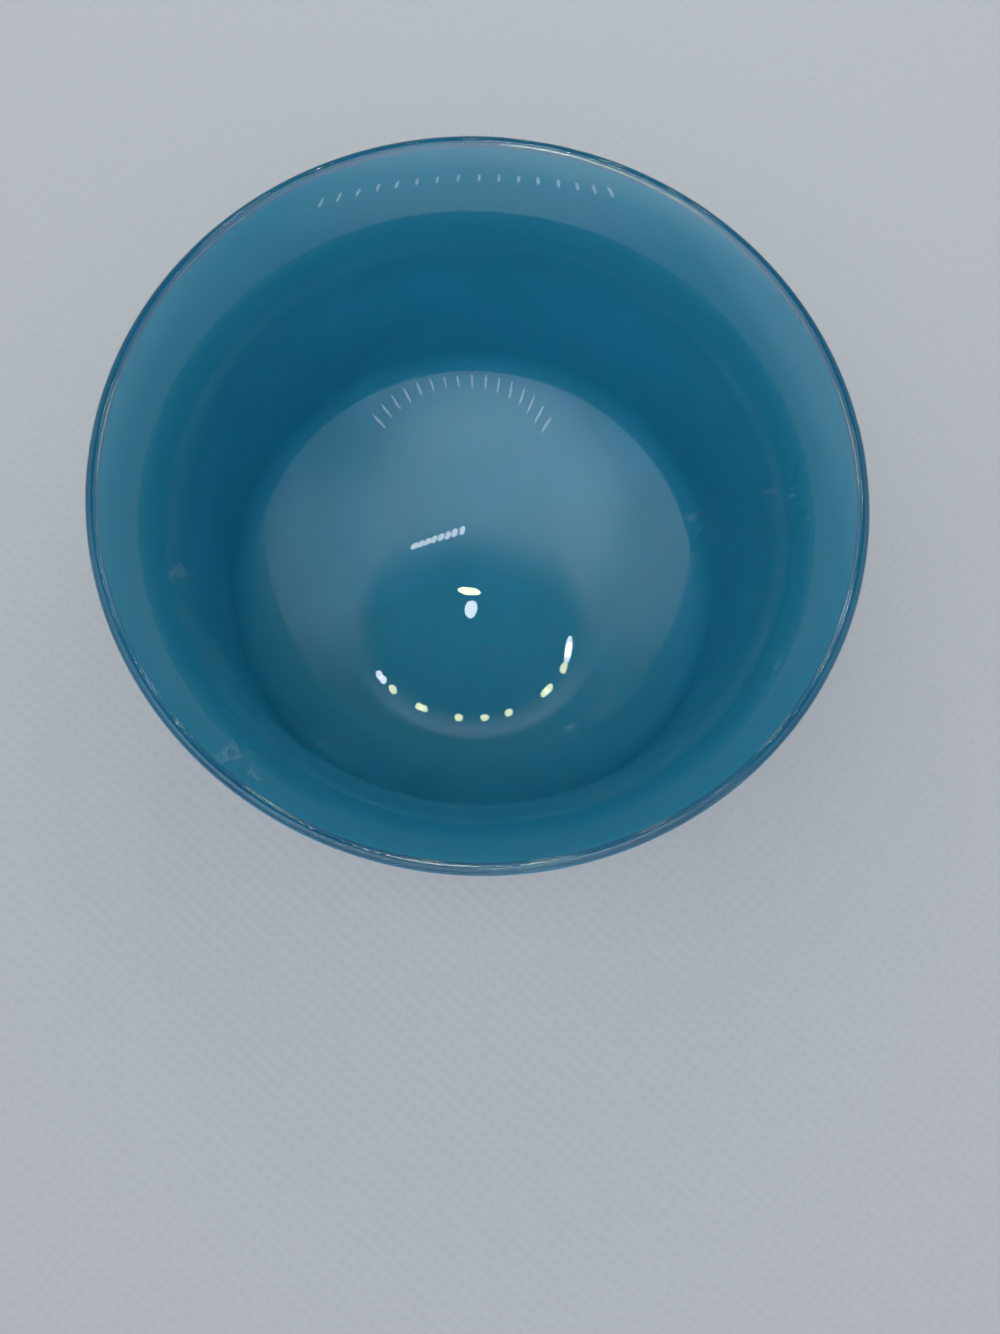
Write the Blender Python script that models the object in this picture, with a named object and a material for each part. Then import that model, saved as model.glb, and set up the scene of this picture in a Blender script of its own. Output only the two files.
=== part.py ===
"""Round dish of cased glass: clear glass inside, opaque blue glass outside.

The dish is turned about the Z axis. Units are metres, +Z is up, and the origin is
the centre of the flat ring on which it stands.

The inside is a chain of curves, each tangent to the next: the flare under the lip, the
straight wall, the corner, the rounded bottom and its shallow middle. The face between
the two layers and the outer wall are that curve moved outwards by a share of the wall's
thickness, and below the corner the outside is one arc down to the foot. The lip is a
half round across both layers.
"""

import math

import bmesh
import bpy

# The inside of the bowl; leans are measured from the vertical
RIM_RADIUS = 0.0700                     # outermost point of the lip
HEIGHT = 0.0830                         # table to the top of the lip
LIP_LEAN = math.radians(56)             # of the glass at the lip
FLARE_RADIUS = 0.0260                   # arc from the lip to the wall
WALL_LEAN = math.radians(1)
CORNER_RADIUS = 0.0085                  # arc from the wall to the bottom
BOTTOM_RADIUS = 0.0650                  # arc from the corner to the shallow middle
MIDDLE_RADIUS = 0.1330                  # arc across the shallow middle
MIDDLE_LEAN = math.radians(79.6)        # where those two arcs meet

# The glass
LIP_THICKNESS = 0.0024
FLOOR_THICKNESS = 0.0048
THICKENING_POWER = 3                    # the wall thickens mostly near the floor
CLEAR_SHARE = 0.48                      # share of the thickness that is clear glass
LAYER_GAP = 0.0003                      # space between the two solids

# The underside
FOOT_RADIUS = 0.0300                    # outer edge of the ring it stands on
STANDING_RING_WIDTH = 0.0060
KICK_HEIGHT = 0.0012                    # the underside domes up inside the ring

# Fineness of the turned meshes
SEGMENTS = 64
FLARE_STEPS = 5
WALL_STEPS = 3
CORNER_STEPS = 5
BOTTOM_STEPS = 6
MIDDLE_STEPS = 3
LIP_STEPS = 4
KICK_STEPS = 4

BLUE = (0.004, 0.145, 0.270, 1.0)
CLEAR = (0.930, 0.965, 0.970, 1.0)


def moved(point, direction, distance):
    """Point moved along a direction, all as (radius, height) pairs."""
    return (point[0] + distance * direction[0], point[1] + distance * direction[1])


def outward(lean):
    """Unit vector out of the bowl, where the wall leans this far from the vertical."""
    return (math.cos(lean), -math.sin(lean))


def upward(lean):
    """Unit vector up along the wall, where it leans this far from the vertical."""
    return (math.sin(lean), math.cos(lean))


def along(first, last, steps):
    """Evenly spaced numbers after the first, up to the last."""
    return [first + (last - first) * step / steps for step in range(1, steps + 1)]


def arc(centre, radius, first_lean, last_lean, steps):
    """Part of the bowl's curve as (point, lean) pairs, after the arc's first point."""
    leans = along(first_lean, last_lean, steps)
    return [(moved(centre, outward(lean), radius), lean) for lean in leans]


def lip_centre():
    """Centre of the lip's half round."""
    return (RIM_RADIUS - LIP_THICKNESS / 2, HEIGHT - LIP_THICKNESS / 2)


def middle_centre():
    """Centre of the shallow middle's arc, on the axis."""
    return (0.0, FLOOR_THICKNESS + MIDDLE_RADIUS)


def bottom_centre():
    """Centre of the arc between the corner and the shallow middle."""
    return moved(middle_centre(), outward(MIDDLE_LEAN), MIDDLE_RADIUS - BOTTOM_RADIUS)


def corner_centre(wall_top):
    """Centre of the arc that touches both the wall below wall_top and the bottom."""
    start = moved(wall_top, outward(WALL_LEAN), -CORNER_RADIUS)
    down = upward(WALL_LEAN + math.pi)
    reach = BOTTOM_RADIUS - CORNER_RADIUS
    away = (start[0] - bottom_centre()[0], start[1] - bottom_centre()[1])
    half = away[0] * down[0] + away[1] * down[1]
    rest = away[0] ** 2 + away[1] ** 2 - reach ** 2
    return moved(start, down, -half + math.sqrt(half ** 2 - rest))


def inside_curve():
    """The inside of the bowl as (point, lean) pairs, from the lip to the axis."""
    lip = moved(lip_centre(), outward(LIP_LEAN), -LIP_THICKNESS / 2)
    flare_centre = moved(lip, outward(LIP_LEAN), FLARE_RADIUS)
    flare = arc(flare_centre, -FLARE_RADIUS, LIP_LEAN, WALL_LEAN, FLARE_STEPS)
    wall_top = flare[-1][0]
    corner = corner_centre(wall_top)
    wall_foot = moved(corner, outward(WALL_LEAN), CORNER_RADIUS)
    wall = []
    for share in along(0.0, 1.0, WALL_STEPS)[:-1]:
        radius, height = (a + (b - a) * share for a, b in zip(wall_top, wall_foot))
        wall.append(((radius, height), WALL_LEAN))
    bottom = bottom_centre()
    junction = math.atan2(bottom[1] - corner[1], corner[0] - bottom[0])
    curve = [(lip, LIP_LEAN)] + flare + wall + [(wall_foot, WALL_LEAN)]
    curve += arc(corner, CORNER_RADIUS, WALL_LEAN, junction, CORNER_STEPS)
    curve += arc(bottom, BOTTOM_RADIUS, junction, MIDDLE_LEAN, BOTTOM_STEPS)
    curve += arc(middle_centre(), MIDDLE_RADIUS, MIDDLE_LEAN, math.pi / 2, MIDDLE_STEPS)
    return curve


def glass_thickness(height):
    """Thickness of both layers together, from the lip's to the floor's."""
    depth_share = (HEIGHT - height) / (HEIGHT - FLOOR_THICKNESS)
    growth = FLOOR_THICKNESS - LIP_THICKNESS
    return LIP_THICKNESS + growth * min(max(depth_share, 0.0), 1.0) ** THICKENING_POWER


def offset_points(curve, share, extra=0.0):
    """A curve moved outwards by a share of the glass and an extra distance."""
    points = []
    for point, lean in curve:
        distance = share * glass_thickness(point[1]) + extra
        points.append(moved(point, outward(lean), distance))
    return points


def outside_points():
    """The outer wall down to the corner's end, then one arc to the foot's edge."""
    curve = inside_curve()[:-BOTTOM_STEPS - MIDDLE_STEPS]
    points = offset_points(curve, 1.0)
    start, normal = points[-1], outward(curve[-1][1])
    span = (FOOT_RADIUS - start[0], -start[1])
    chord = span[0] ** 2 + span[1] ** 2
    radius = -chord / (2 * (span[0] * normal[0] + span[1] * normal[1]))
    centre = moved(start, normal, -radius)
    foot_lean = math.atan2(centre[1], FOOT_RADIUS - centre[0])
    under = arc(centre, radius, curve[-1][1], foot_lean, BOTTOM_STEPS)
    return points + [point for point, _ in under]


def lip_arc(first_offset, last_offset):
    """Part of the lip's half round, between two distances across it from the bowl."""
    radius = LIP_THICKNESS / 2
    first = math.acos((first_offset - radius) / radius)
    last = math.acos((last_offset - radius) / radius)
    points = []
    for turn in [first] + along(first, last, LIP_STEPS):
        across = moved(lip_centre(), outward(LIP_LEAN), radius * math.cos(turn))
        points.append(moved(across, upward(LIP_LEAN), radius * math.sin(turn)))
    return points


def underside():
    """From the standing ring's inner edge to the axis: a shallow dome."""
    radius = FOOT_RADIUS - STANDING_RING_WIDTH
    points = []
    for share in [0.0] + along(0.0, 1.0, KICK_STEPS):
        rise = KICK_HEIGHT * (1 - math.cos(math.pi * share)) / 2
        points.append((radius * (1 - share), rise))
    return points


def turned(name, profile, material):
    """Turn a profile, which starts and ends on the axis, into a closed body."""
    mesh = bpy.data.meshes.new(name)
    bm = bmesh.new()
    verts = [bm.verts.new((radius, 0.0, height)) for radius, height in profile]
    edges = [bm.edges.new(pair) for pair in zip(verts, verts[1:])]
    bmesh.ops.spin(
        bm,
        geom=verts + edges,
        cent=(0, 0, 0),
        axis=(0, 0, 1),
        angle=2 * math.pi,
        steps=SEGMENTS,
        use_merge=True,
    )
    bmesh.ops.remove_doubles(bm, verts=bm.verts, dist=1e-6)
    bmesh.ops.recalc_face_normals(bm, faces=bm.faces)
    bm.to_mesh(mesh)
    bm.free()
    mesh.shade_smooth()
    mesh.set_sharp_from_angle(angle=math.radians(40))
    mesh.materials.append(material)
    body = bpy.data.objects.new(name, mesh)
    bpy.context.scene.collection.objects.link(body)
    return body


def glass(name, colour, transmission):
    """Glossy glass, either opaque or see-through."""
    material = bpy.data.materials.new(name)
    material.use_nodes = True
    shader = material.node_tree.nodes["Principled BSDF"]
    shader.inputs["Base Color"].default_value = colour
    shader.inputs["Metallic"].default_value = 0.0
    shader.inputs["Roughness"].default_value = 0.03
    shader.inputs["IOR"].default_value = 1.5
    shader.inputs["Transmission Weight"].default_value = transmission
    return material


def make_clear_layer():
    """Clear glass: the inside of the bowl and the inner part of the lip."""
    inside = offset_points(inside_curve(), 0.0)
    between = offset_points(inside_curve(), CLEAR_SHARE, -LAYER_GAP / 2)
    lip = lip_arc(0.0, CLEAR_SHARE * LIP_THICKNESS - LAYER_GAP / 2)
    profile = inside[:0:-1] + lip + between[1:]
    return turned("clear_glass_layer", profile, glass("clear glass", CLEAR, 1.0))


def make_blue_layer():
    """Opaque blue glass: the outside, the outer part of the lip and the foot."""
    between = offset_points(inside_curve(), CLEAR_SHARE, LAYER_GAP / 2)
    lip = lip_arc(CLEAR_SHARE * LIP_THICKNESS + LAYER_GAP / 2, LIP_THICKNESS)
    profile = between[:0:-1] + lip + outside_points()[1:] + underside()
    return turned("blue_glass_layer", profile, glass("blue glass", BLUE, 0.0))


def main():
    for leftover in list(bpy.data.objects):
        bpy.data.objects.remove(leftover)
    make_clear_layer()
    make_blue_layer()


main()
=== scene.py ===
"""Looks of the cased glass dish: its glass, the floor, the light tent and the camera.

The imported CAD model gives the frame. Two finely turned pieces stand for its two nodes:
a clear glass liner and the blue glass body that it is fused to. Units are metres.
"""

import math

import bmesh
import bpy
from mathutils import Matrix, Vector


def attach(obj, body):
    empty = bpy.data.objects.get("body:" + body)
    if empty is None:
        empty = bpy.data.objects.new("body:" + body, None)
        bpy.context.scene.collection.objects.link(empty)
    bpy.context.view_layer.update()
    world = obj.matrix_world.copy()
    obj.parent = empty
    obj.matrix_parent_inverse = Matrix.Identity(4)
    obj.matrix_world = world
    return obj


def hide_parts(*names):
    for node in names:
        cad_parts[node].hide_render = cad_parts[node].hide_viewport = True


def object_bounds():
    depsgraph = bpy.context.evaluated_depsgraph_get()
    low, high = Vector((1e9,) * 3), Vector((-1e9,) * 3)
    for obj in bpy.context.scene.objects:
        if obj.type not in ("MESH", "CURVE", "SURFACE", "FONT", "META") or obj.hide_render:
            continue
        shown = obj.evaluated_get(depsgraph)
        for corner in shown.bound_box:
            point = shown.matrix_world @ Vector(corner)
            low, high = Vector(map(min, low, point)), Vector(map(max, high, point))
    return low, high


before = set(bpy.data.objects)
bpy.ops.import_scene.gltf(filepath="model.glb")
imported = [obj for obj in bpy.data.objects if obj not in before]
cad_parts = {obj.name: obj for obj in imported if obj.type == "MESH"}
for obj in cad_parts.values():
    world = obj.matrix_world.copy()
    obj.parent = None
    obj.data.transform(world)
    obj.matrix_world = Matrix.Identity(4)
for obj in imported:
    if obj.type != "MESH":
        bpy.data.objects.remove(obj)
CAD_LOW, CAD_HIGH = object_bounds()

# The bowl, as in the CAD model; the rim's radius and the height come from the frame.
# Leans are measured from the vertical.
RIM_RADIUS = CAD_HIGH.x
HEIGHT = CAD_HIGH.z
LIP_LEAN = math.radians(56)             # of the glass at the lip
FLARE_RADIUS = 0.0260                   # arc from the lip to the wall
WALL_LEAN = math.radians(1)
CORNER_RADIUS = 0.0085                  # arc from the wall to the bottom
BOTTOM_RADIUS = 0.0650                  # arc from the corner to the shallow middle
MIDDLE_RADIUS = 0.1330                  # arc across the shallow middle
MIDDLE_LEAN = math.radians(79.6)        # where those two arcs meet
LIP_THICKNESS = 0.0024
FLOOR_THICKNESS = 0.0048
THICKENING_POWER = 3                    # the wall thickens mostly near the floor
CLEAR_SHARE = 0.48                      # share of the thickness that is clear glass
FOOT_RADIUS = 0.0300                    # outer edge of the ring it stands on
STANDING_RING_WIDTH = 0.0060
KICK_HEIGHT = 0.0012                    # the underside domes up inside the ring

# Fineness of the turned meshes
SEGMENTS = 224
FLARE_STEPS = 28
WALL_STEPS = 8
CORNER_STEPS = 24
BOTTOM_STEPS = 30
MIDDLE_STEPS = 14
LIP_STEPS = 12
KICK_STEPS = 14

BURIED = 0.00004                        # the liner's outer face is this deep in the blue glass
ON_AXIS = 1e-7                          # a smaller radius is a single point on the axis

# Glass colours. The same blue glass is painted paler under the liner, as painted light, and
# darker on the outside, as painted shade.
GLASS_IOR = 1.5
CLEAR = (0.985, 0.995, 1.0, 1.0)
DEEP_BLUE = (0.034, 0.43, 0.63, 1.0)
PALE_BLUE = (0.046, 0.47, 0.69, 1.0)
FLARE_SHADE_BLUE = (0.022, 0.34, 0.52, 1.0)     # painted shade: the blue is painted darker in the flare
FLARE_SHADE_HEIGHTS = (0.052, 0.074)          # where the painted shade starts and is complete
OUTER_SHADED_BLUE = (0.008, 0.16, 0.30, 1.0)
OUTER_SHADED_PALE_BLUE = (0.012, 0.20, 0.35, 1.0)
GLOW_DEPTH = 0.0015                     # how far light scatters under the liner
GLOW_SHARES = (0.2, 1.0, 1.0)           # of that depth, for red, green and blue
SHEEN_ROUGHNESS = 0.42                  # the soft reflection where the layers meet
SHEEN_LEVEL = 0.55
SHEEN_TINT = (0.50, 0.95, 1.0, 1.0)

# Surface detail: noise scales are in features per metre, heights in metres, and levels
# are where a noise value starts to count and counts in full
CLOUD_SCALE = 26.0
CLOUD_LEVELS = (0.35, 0.65)
WAVE_SCALE, WAVE_HEIGHT = 32.0, 0.00006             # on the inside of the dish
OUTER_WAVE_SCALE, OUTER_WAVE_HEIGHT = 45.0, 0.00008
SMEAR_SCALE = 420.0
SMEAR_STRETCH = (1.0, 1.0, 0.25)
SMEAR_LEVELS = (0.56, 0.66)
SMEAR_FIELD_SCALE = 38.0                # smears show in a few fields only
SMEAR_FIELD_LEVELS = (0.60, 0.68)
SMEARED_TRANSMISSION = 0.95
SMEARED_ROUGHNESS = 0.12
WORN_HEIGHTS = (0.0002, 0.0010)         # the foot's dullness fades out between these
WORN_ROUGHNESS = 0.5
POLISHED_ROUGHNESS = 0.03

# The tent's floor: pale cloth with dimples pressed into it, their hollows painted a little darker
# as painted shade
CLOTH = (0.47, 0.48, 0.50, 1.0)
CLOTH_HOLLOW_SHADE = (0.455, 0.465, 0.485, 1.0)
CLOTH_ROUGHNESS = 0.9
CLOTH_PITCH = 0.0027                    # between dimples
CLOTH_TURN = 0.7                        # of the rows of dimples about Z, in radians
DIMPLE_LEVELS = (0.15, 0.45)            # a dimple's inner and outer edge, in pitches
DIMPLE_DEPTH = 0.00015
FLOOR_HALF_WIDTH = 1.2
FLOOR_GAP = 0.0002                      # keeps the floor just clear of the foot

# The camera, in rim radii from the centre of the rim
CAMERA_FROM_RIM = (-0.0893, -1.0052, 2.4027)
CAMERA_AIM = (0.0339, -0.4968, 0.0)
CAMERA_ROLL = math.radians(13.32)
CAMERA_LENS = 36.0
CAMERA_SENSOR = 36.0

# The light tent. Each patch: direction of its middle, its inner and outer half angle in
# degrees, and how much brighter or darker than the cloth it is.
TENT_CLOTH = 0.50
TENT_COLOUR = (0.92, 0.96, 1.0, 1.0)
TENT_PATCHES = (
    ((-0.10, -0.25, 1.0), 10, 42, 1.25),
    ((0.60, 0.15, 0.78), 4, 30, 0.45),
    ((-0.68, 0.0, 0.73), 6, 38, 0.6),
    ((0.0, 1.0, 0.55), 18, 48, -0.38),
    ((0.0, -1.0, 0.60), 15, 50, 0.55),
)
TENT_OPENING = ((0.04, 0.50, 1.0), 14, 24)          # dark hole in the cloth overhead
EDGE_WIDTH = 4                                      # of the opening's bright hem, degrees
TENT_EDGE = ((0.0, 0.9, 0.7), 12, 30)               # the part of the hem that is lit

# Lamps. Places are in rim radii from the dish's axis, sizes in metres, power in watts.
LAMP_HEIGHT = 2.4                       # in rim radii above the rim
WARM = (0.92, 1.0, 0.50)
COOL = (0.86, 0.95, 1.0)
# Curved rows of diodes: the row's centre, its radius, and each diode's turn in degrees
FAR_ROW = ((0.25, 1.95), 1.0, (20, 25, 35, 57, 61, 86, 104, 121, 152, 157, 179, 191, 197, 202))
FAR_WARM = range(2, 11)                 # the warm diodes of the far row
FAR_DIODE = ((0.0070, 0.0160), 0.0045)  # size and power
NEAR_ROW = ((0.40, -1.45), 1.45, range(-176, 0, 11))
NEAR_DIODE = ((0.0030, 0.0350), 0.0011)
# The straight row of small diodes: its first place, the step to the next, and how many
SMALL_ROW = ((0.46, 0.67), (-0.043, -0.018), 8)
SMALL_DIODE = ((0.0023, 0.0045), 0.00028)
WIDE_LAMP_PLACE = (0.12, 0.98)
WIDE_LAMP = ((0.0095, 0.0038), 0.0028)
TALL_LAMP_PLACE = (0.11, 1.12)
TALL_LAMP = ((0.0056, 0.0095), 0.0024)
# The large soft light behind the dish; its place and aim are in metres
BACK_LIGHT = ((1.2, 0.4), 1.1)
BACK_LIGHT_PLACE = (0.10, 0.60, 0.20)
BACK_LIGHT_AIM = (0.10, 0.35, 0.0)


def moved(point, direction, distance):
    """Point moved along a direction, all as (radius, height) pairs."""
    return (point[0] + distance * direction[0], point[1] + distance * direction[1])


def outward(lean):
    """Unit vector out of the bowl, where the wall leans this far from the vertical."""
    return (math.cos(lean), -math.sin(lean))


def upward(lean):
    """Unit vector up along the wall, where it leans this far from the vertical."""
    return (math.sin(lean), math.cos(lean))


def along(first, last, steps):
    """Evenly spaced numbers after the first, up to the last."""
    return [first + (last - first) * step / steps for step in range(1, steps + 1)]


def arc(centre, radius, first_lean, last_lean, steps):
    """Part of the bowl's curve as (point, lean) pairs, after the arc's first point."""
    leans = along(first_lean, last_lean, steps)
    return [(moved(centre, outward(lean), radius), lean) for lean in leans]


def lip_centre():
    """Centre of the lip's half round."""
    return (RIM_RADIUS - LIP_THICKNESS / 2, HEIGHT - LIP_THICKNESS / 2)


def middle_centre():
    """Centre of the shallow middle's arc, on the axis."""
    return (0.0, FLOOR_THICKNESS + MIDDLE_RADIUS)


def bottom_centre():
    """Centre of the arc between the corner and the shallow middle."""
    return moved(middle_centre(), outward(MIDDLE_LEAN), MIDDLE_RADIUS - BOTTOM_RADIUS)


def corner_centre(wall_top):
    """Centre of the arc that touches both the wall below wall_top and the bottom."""
    start = moved(wall_top, outward(WALL_LEAN), -CORNER_RADIUS)
    down = upward(WALL_LEAN + math.pi)
    reach = BOTTOM_RADIUS - CORNER_RADIUS
    away = (start[0] - bottom_centre()[0], start[1] - bottom_centre()[1])
    half = away[0] * down[0] + away[1] * down[1]
    rest = away[0] ** 2 + away[1] ** 2 - reach ** 2
    return moved(start, down, -half + math.sqrt(half ** 2 - rest))


def inside_curve():
    """The inside of the bowl as (point, lean) pairs, from the lip to the axis."""
    lip = moved(lip_centre(), outward(LIP_LEAN), -LIP_THICKNESS / 2)
    flare_centre = moved(lip, outward(LIP_LEAN), FLARE_RADIUS)
    flare = arc(flare_centre, -FLARE_RADIUS, LIP_LEAN, WALL_LEAN, FLARE_STEPS)
    wall_top = flare[-1][0]
    corner = corner_centre(wall_top)
    wall_foot = moved(corner, outward(WALL_LEAN), CORNER_RADIUS)
    wall = []
    for share in along(0.0, 1.0, WALL_STEPS)[:-1]:
        radius, height = (a + (b - a) * share for a, b in zip(wall_top, wall_foot))
        wall.append(((radius, height), WALL_LEAN))
    bottom = bottom_centre()
    junction = math.atan2(bottom[1] - corner[1], corner[0] - bottom[0])
    curve = [(lip, LIP_LEAN)] + flare + wall + [(wall_foot, WALL_LEAN)]
    curve += arc(corner, CORNER_RADIUS, WALL_LEAN, junction, CORNER_STEPS)
    curve += arc(bottom, BOTTOM_RADIUS, junction, MIDDLE_LEAN, BOTTOM_STEPS)
    curve += arc(middle_centre(), MIDDLE_RADIUS, MIDDLE_LEAN, math.pi / 2, MIDDLE_STEPS)
    return curve


def glass_thickness(height):
    """Thickness of both layers together, from the lip's to the floor's."""
    depth_share = (HEIGHT - height) / (HEIGHT - FLOOR_THICKNESS)
    growth = FLOOR_THICKNESS - LIP_THICKNESS
    return LIP_THICKNESS + growth * min(max(depth_share, 0.0), 1.0) ** THICKENING_POWER


def offset_points(curve, share, extra=0.0):
    """A curve moved outwards by a share of the glass and an extra distance."""
    points = []
    for point, lean in curve:
        distance = share * glass_thickness(point[1]) + extra
        points.append(moved(point, outward(lean), distance))
    return points


def outside_points():
    """The outer wall down to the corner's end, then one arc to the foot's edge."""
    curve = inside_curve()[:-BOTTOM_STEPS - MIDDLE_STEPS]
    points = offset_points(curve, 1.0)
    start, normal = points[-1], outward(curve[-1][1])
    span = (FOOT_RADIUS - start[0], -start[1])
    chord = span[0] ** 2 + span[1] ** 2
    radius = -chord / (2 * (span[0] * normal[0] + span[1] * normal[1]))
    centre = moved(start, normal, -radius)
    foot_lean = math.atan2(centre[1], FOOT_RADIUS - centre[0])
    under = arc(centre, radius, curve[-1][1], foot_lean, BOTTOM_STEPS)
    return points + [point for point, _ in under]


def lip_arc(first_offset, last_offset):
    """Part of the lip's half round, between two distances across it from the bowl."""
    radius = LIP_THICKNESS / 2
    first = math.acos((first_offset - radius) / radius)
    last = math.acos((last_offset - radius) / radius)
    points = []
    for turn in [first] + along(first, last, LIP_STEPS):
        across = moved(lip_centre(), outward(LIP_LEAN), radius * math.cos(turn))
        points.append(moved(across, upward(LIP_LEAN), radius * math.sin(turn)))
    return points


def underside():
    """From the standing ring's inner edge to the axis: a shallow dome."""
    radius = FOOT_RADIUS - STANDING_RING_WIDTH
    points = []
    for share in [0.0] + along(0.0, 1.0, KICK_STEPS):
        rise = KICK_HEIGHT * (1 - math.cos(math.pi * share)) / 2
        points.append((radius * (1 - share), rise))
    return points


def linked(name, data):
    """A new object in the scene."""
    item = bpy.data.objects.new(name, data)
    bpy.context.scene.collection.objects.link(item)
    return item


def mesh_object(name, bm, *materials):
    """A new object with the bmesh as its mesh; the bmesh is freed."""
    mesh = bpy.data.meshes.new(name)
    bm.to_mesh(mesh)
    bm.free()
    for material in materials:
        mesh.materials.append(material)
    return linked(name, mesh)


def turned(name, profile, *materials):
    """Turn a profile, which starts and ends on the axis, into a closed body."""
    bm = bmesh.new()
    rings = []
    for radius, height in profile:
        if radius < ON_AXIS:
            rings.append([bm.verts.new((0.0, 0.0, height))])
            continue
        ring = []
        for step in range(SEGMENTS):
            turn = 2 * math.pi * step / SEGMENTS
            place = (radius * math.cos(turn), radius * math.sin(turn), height)
            ring.append(bm.verts.new(place))
        rings.append(ring)
    for upper, lower in zip(rings, rings[1:]):
        for step in range(SEGMENTS):
            after = (step + 1) % SEGMENTS
            corners = [upper[step % len(upper)], upper[after % len(upper)]]
            corners += [lower[after % len(lower)], lower[step % len(lower)]]
            bm.faces.new(dict.fromkeys(corners))
    bmesh.ops.recalc_face_normals(bm, faces=bm.faces)
    body = mesh_object(name, bm, *materials)
    body.data.shade_smooth()
    return body


def new_node(tree, kind, inputs, **settings):
    """A shader node with its settings made and its inputs set or linked."""
    node = tree.nodes.new(kind)
    for setting, value in settings.items():
        setattr(node, setting, value)
    for socket, value in inputs.items():
        if isinstance(value, bpy.types.NodeSocket):
            tree.links.new(value, node.inputs[socket])
        else:
            node.inputs[socket].default_value = value
    return node


def principled(name):
    """A new material with its node tree, its shader and object coordinates."""
    material = bpy.data.materials.new(name)
    material.use_nodes = True
    tree = material.node_tree
    place = tree.nodes.new("ShaderNodeTexCoord").outputs["Object"]
    return material, tree, tree.nodes["Principled BSDF"], place


def noise(tree, place, scale, detail=2.0, distortion=0.0):
    """Noise about 0.5 in features of roughly 1/scale metres."""
    inputs = {"Vector": place, "Scale": scale, "Detail": detail, "Distortion": distortion}
    return new_node(tree, "ShaderNodeTexNoise", inputs).outputs["Fac"]


def ranged(tree, value, from_low, from_high, to_low, to_high):
    """A value moved smoothly from one range to another and kept inside it."""
    inputs = {"Value": value, "From Min": from_low, "From Max": from_high}
    inputs.update({"To Min": to_low, "To Max": to_high})
    node = new_node(tree, "ShaderNodeMapRange", inputs, interpolation_type="SMOOTHSTEP")
    return node.outputs["Result"]


def calculated(tree, operation, first, second):
    """The result of a Math node."""
    return new_node(tree, "ShaderNodeMath", {0: first, 1: second}, operation=operation).outputs[0]


def blended(tree, share, first, second):
    """The first colour, changing to the second as the share goes from 0 to 1."""
    node = new_node(tree, "ShaderNodeMix", {"Factor": share}, data_type="RGBA")
    sockets = [socket for socket in node.inputs if socket.type == "RGBA"]
    for socket, colour in zip(sockets, (first, second)):
        if isinstance(colour, bpy.types.NodeSocket):
            tree.links.new(colour, socket)
        else:
            socket.default_value = colour
    return next(socket for socket in node.outputs if socket.type == "RGBA")


def bumped(tree, shader, height, distance):
    """Bump of a given depth on a shader, from a height between 0 and 1."""
    node = new_node(tree, "ShaderNodeBump", {"Height": height, "Distance": distance})
    tree.links.new(node.outputs["Normal"], shader.inputs["Normal"])


def clear_glass():
    """Clear glass, slightly wavy, with a few wisps of smear and fine scuffs."""
    material, tree, shader, place = principled("clear liner glass")
    shader.inputs["Base Color"].default_value = CLEAR
    shader.inputs["IOR"].default_value = GLASS_IOR
    inputs = {"Vector": place, "Scale": SMEAR_STRETCH}
    stretched = new_node(tree, "ShaderNodeMapping", inputs).outputs["Vector"]
    streaks = noise(tree, stretched, SMEAR_SCALE, detail=3.0, distortion=1.2)
    streaks = ranged(tree, streaks, *SMEAR_LEVELS, 0.0, 1.0)
    fields = noise(tree, place, SMEAR_FIELD_SCALE)
    fields = ranged(tree, fields, *SMEAR_FIELD_LEVELS, 0.0, 1.0)
    smears = calculated(tree, "MULTIPLY", streaks, fields)
    transmission = ranged(tree, smears, 0.0, 1.0, 1.0, SMEARED_TRANSMISSION)
    tree.links.new(transmission, shader.inputs["Transmission Weight"])
    roughness = ranged(tree, smears, 0.0, 1.0, 0.0, SMEARED_ROUGHNESS)
    tree.links.new(roughness, shader.inputs["Roughness"])
    bumped(tree, shader, noise(tree, place, WAVE_SCALE), WAVE_HEIGHT)
    return material


def blue_glass(name, polished):
    """Opaque, faintly cloudy blue glass: the polished outside, painted darker as shade, or the
    face under the liner, painted paler as light.

    Under the liner light scatters a little way into it, and its reflection is soft.
    """
    material, tree, shader, place = principled(name)
    clouds = noise(tree, place, CLOUD_SCALE, detail=4.0, distortion=0.8)
    clouds = ranged(tree, clouds, *CLOUD_LEVELS, 0.0, 1.0)
    height = new_node(tree, "ShaderNodeSeparateXYZ", {"Vector": place}).outputs["Z"]
    shader.inputs["IOR"].default_value = GLASS_IOR
    if polished:
        # painted shade: the outside's blue is darker than the same glass under the liner
        colour = blended(tree, clouds, OUTER_SHADED_BLUE, OUTER_SHADED_PALE_BLUE)
        roughness = ranged(tree, height, *WORN_HEIGHTS, WORN_ROUGHNESS, POLISHED_ROUGHNESS)
        tree.links.new(roughness, shader.inputs["Roughness"])
        bumped(tree, shader, noise(tree, place, OUTER_WAVE_SCALE), OUTER_WAVE_HEIGHT)
    else:
        # painted light: under the liner the blue is painted paler
        colour = blended(tree, clouds, DEEP_BLUE, PALE_BLUE)
        # painted shade: the blue darkens towards the lip, in the flare
        flare = ranged(tree, height, *FLARE_SHADE_HEIGHTS, 0.0, 1.0)
        colour = blended(tree, flare, colour, FLARE_SHADE_BLUE)
        shader.inputs["Subsurface Weight"].default_value = 1.0
        shader.inputs["Subsurface Radius"].default_value = GLOW_SHARES
        shader.inputs["Subsurface Scale"].default_value = GLOW_DEPTH
        shader.inputs["Roughness"].default_value = SHEEN_ROUGHNESS
        shader.inputs["Specular IOR Level"].default_value = SHEEN_LEVEL
        shader.inputs["Specular Tint"].default_value = SHEEN_TINT
    tree.links.new(colour, shader.inputs["Base Color"])
    return material


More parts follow.
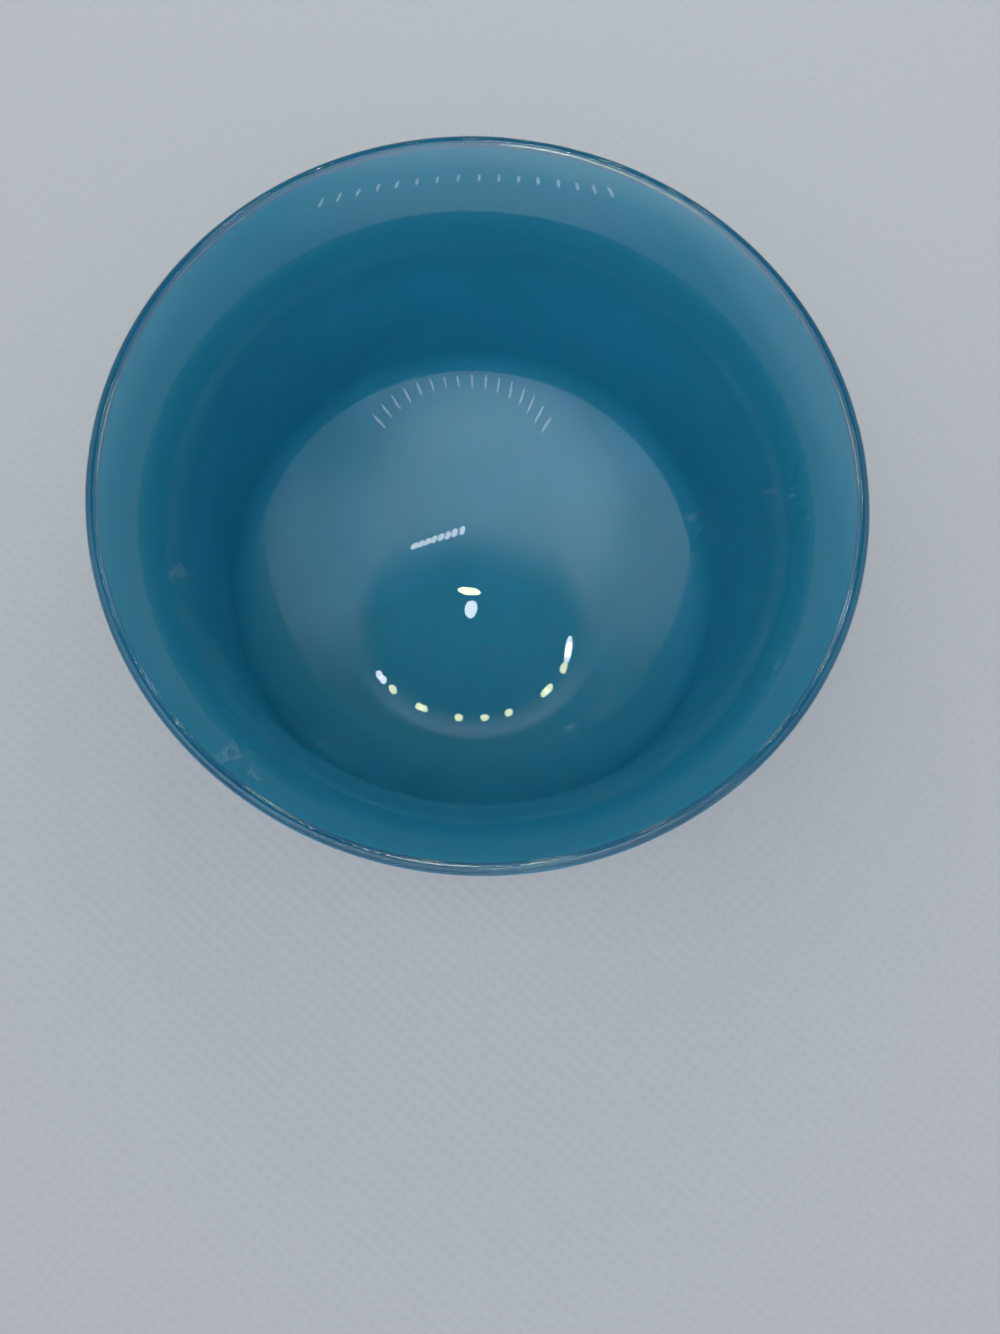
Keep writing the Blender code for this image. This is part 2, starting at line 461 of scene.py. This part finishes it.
def make_liner():
    """The clear layer: the inside of the bowl and the inner part of the lip."""
    inside = offset_points(inside_curve(), 0.0)
    between = offset_points(inside_curve(), CLEAR_SHARE, BURIED)
    lip = lip_arc(0.0, CLEAR_SHARE * LIP_THICKNESS)
    profile = inside[:0:-1] + lip + between[1:]
    piece = turned("clear_glass_liner", profile, clear_glass())
    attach(piece, "root")
    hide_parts("clear_glass_layer")


def make_body():
    """The blue layer: the outside, the outer part of the lip, and the foot."""
    between = offset_points(inside_curve(), CLEAR_SHARE)
    outside = outside_points()
    lip = lip_arc(CLEAR_SHARE * LIP_THICKNESS, LIP_THICKNESS)
    profile = between[:0:-1] + lip + outside[1:] + underside()
    materials = (blue_glass("blue glass", True), blue_glass("blue under glass", False))
    piece = turned("blue_glass_body", profile, *materials)
    faces_under_liner = (len(between) - 2) * SEGMENTS
    for face in piece.data.polygons:
        face.material_index = 1 if face.index < faces_under_liner else 0
    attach(piece, "root")
    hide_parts("blue_glass_layer")


def floor_cloth():
    """Pale cloth with rows of small dimples, their hollows painted darker as painted shade."""
    material, tree, shader, place = principled("tent floor cloth")
    inputs = {"Vector": place, "Rotation": (0.0, 0.0, CLOTH_TURN)}
    rows = new_node(tree, "ShaderNodeMapping", inputs).outputs["Vector"]
    inputs = {"Vector": rows, "Scale": 1.0 / CLOTH_PITCH, "Randomness": 0.25}
    dimples = new_node(tree, "ShaderNodeTexVoronoi", inputs).outputs["Distance"]
    hollow_shade = ranged(tree, dimples, *DIMPLE_LEVELS, 1.0, 0.0)
    # painted shade: the dimples' hollows are a little darker
    tree.links.new(blended(tree, hollow_shade, CLOTH, CLOTH_HOLLOW_SHADE), shader.inputs["Base Color"])
    shader.inputs["Roughness"].default_value = CLOTH_ROUGHNESS
    bumped(tree, shader, dimples, DIMPLE_DEPTH)
    return material


def make_floor():
    bm = bmesh.new()
    bmesh.ops.create_grid(bm, x_segments=2, y_segments=2, size=FLOOR_HALF_WIDTH)
    floor = mesh_object("tent_floor", bm, floor_cloth())
    floor.location.z = CAD_LOW.z - FLOOR_GAP


def make_camera():
    data = bpy.data.cameras.new("camera")
    data.sensor_fit = "HORIZONTAL"
    data.sensor_width = CAMERA_SENSOR
    data.lens = CAMERA_LENS
    data.clip_start = 0.01
    camera = linked("camera", data)
    rim_plane = Vector((0.0, 0.0, HEIGHT - LIP_THICKNESS / 2))
    place = rim_plane + RIM_RADIUS * Vector(CAMERA_FROM_RIM)
    aim = rim_plane + RIM_RADIUS * Vector(CAMERA_AIM)
    forward = (aim - place).normalized()
    level = forward.cross(Vector((0, 0, 1))).normalized()
    above = level.cross(forward)
    right = level * math.cos(CAMERA_ROLL) + above * math.sin(CAMERA_ROLL)
    up = right.cross(forward)
    turn = Matrix((right, up, -forward)).transposed()
    camera.matrix_world = Matrix.Translation(place) @ turn.to_4x4()
    bpy.context.scene.camera = camera


def patch(tree, direction, centre, inner, outer):
    """1 within the inner angle of a direction, falling to 0 at the outer angle."""
    inputs = {0: direction, 1: Vector(centre).normalized()}
    node = new_node(tree, "ShaderNodeVectorMath", inputs, operation="DOT_PRODUCT")
    edges = (math.cos(math.radians(outer)), math.cos(math.radians(inner)))
    return ranged(tree, node.outputs["Value"], *edges, 0.0, 1.0)


def make_world():
    """The light tent: pale cloth with brighter and darker patches, and an opening."""
    world = bpy.data.worlds.new("light tent")
    bpy.context.scene.world = world
    world.use_nodes = True
    tree = world.node_tree
    direction = tree.nodes.new("ShaderNodeTexCoord").outputs["Generated"]
    light = TENT_CLOTH
    for centre, inner, outer, change in TENT_PATCHES:
        spot = patch(tree, direction, centre, inner, outer)
        light = calculated(tree, "ADD", calculated(tree, "MULTIPLY", spot, change), light)
    centre, inner, outer = TENT_OPENING
    opening = patch(tree, direction, centre, inner, outer)
    light = calculated(tree, "MULTIPLY", light, calculated(tree, "SUBTRACT", 1.0, opening))
    hem = patch(tree, direction, centre, outer, outer + EDGE_WIDTH)
    hem = calculated(tree, "SUBTRACT", hem, opening)
    hem = calculated(tree, "MULTIPLY", hem, patch(tree, direction, *TENT_EDGE))
    light = calculated(tree, "MAXIMUM", calculated(tree, "ADD", light, hem), 0.0)
    background = tree.nodes["Background"]
    tree.links.new(light, background.inputs["Strength"])
    background.inputs["Color"].default_value = TENT_COLOUR


def over_rim(x, y):
    """A lamp's place, from its distances along X and Y in rim radii."""
    return Vector((x * RIM_RADIUS, y * RIM_RADIUS, HEIGHT + LAMP_HEIGHT * RIM_RADIUS))


def lamp(name, place, kind, colour, aim=(0.0, 0.0, 0.0), shape="ELLIPSE"):
    """A flat lamp facing a point; the camera does not see it, but reflections do."""
    data = bpy.data.lights.new(name, "AREA")
    data.shape = shape
    (data.size, data.size_y), data.energy = kind
    data.color = colour
    item = linked(name, data)
    item.location = place
    item.rotation_euler = (Vector(aim) - Vector(place)).to_track_quat("-Z", "Y").to_euler()
    item.visible_camera = False
    return item


def make_curved_row(name, row, kind, warm=()):
    """A curved row of diodes; those whose numbers are in warm have the warm colour."""
    (x, y), radius, turns = row
    for number, turn in enumerate(turns):
        turn = math.radians(turn)
        place = over_rim(x + radius * math.cos(turn), y + radius * math.sin(turn))
        lamp(f"{name}_{number}", place, kind, WARM if number in warm else COOL)


def make_lamps():
    make_curved_row("far_diode", FAR_ROW, FAR_DIODE, FAR_WARM)
    make_curved_row("near_diode", NEAR_ROW, NEAR_DIODE)
    (x, y), (step_x, step_y), count = SMALL_ROW
    for number in range(count):
        place = over_rim(x + step_x * number, y + step_y * number)
        lamp(f"small_diode_{number}", place, SMALL_DIODE, COOL)
    lamp("wide_lamp", over_rim(*WIDE_LAMP_PLACE), WIDE_LAMP, WARM)
    lamp("tall_lamp", over_rim(*TALL_LAMP_PLACE), TALL_LAMP, COOL)
    place, aim = BACK_LIGHT_PLACE, BACK_LIGHT_AIM
    light = lamp("soft_back_light", place, BACK_LIGHT, COOL, aim, "RECTANGLE")
    light.visible_glossy = False


make_camera()
make_liner()
make_body()
make_floor()
make_world()
make_lamps()

bpy.context.scene.view_settings.view_transform = "Standard"
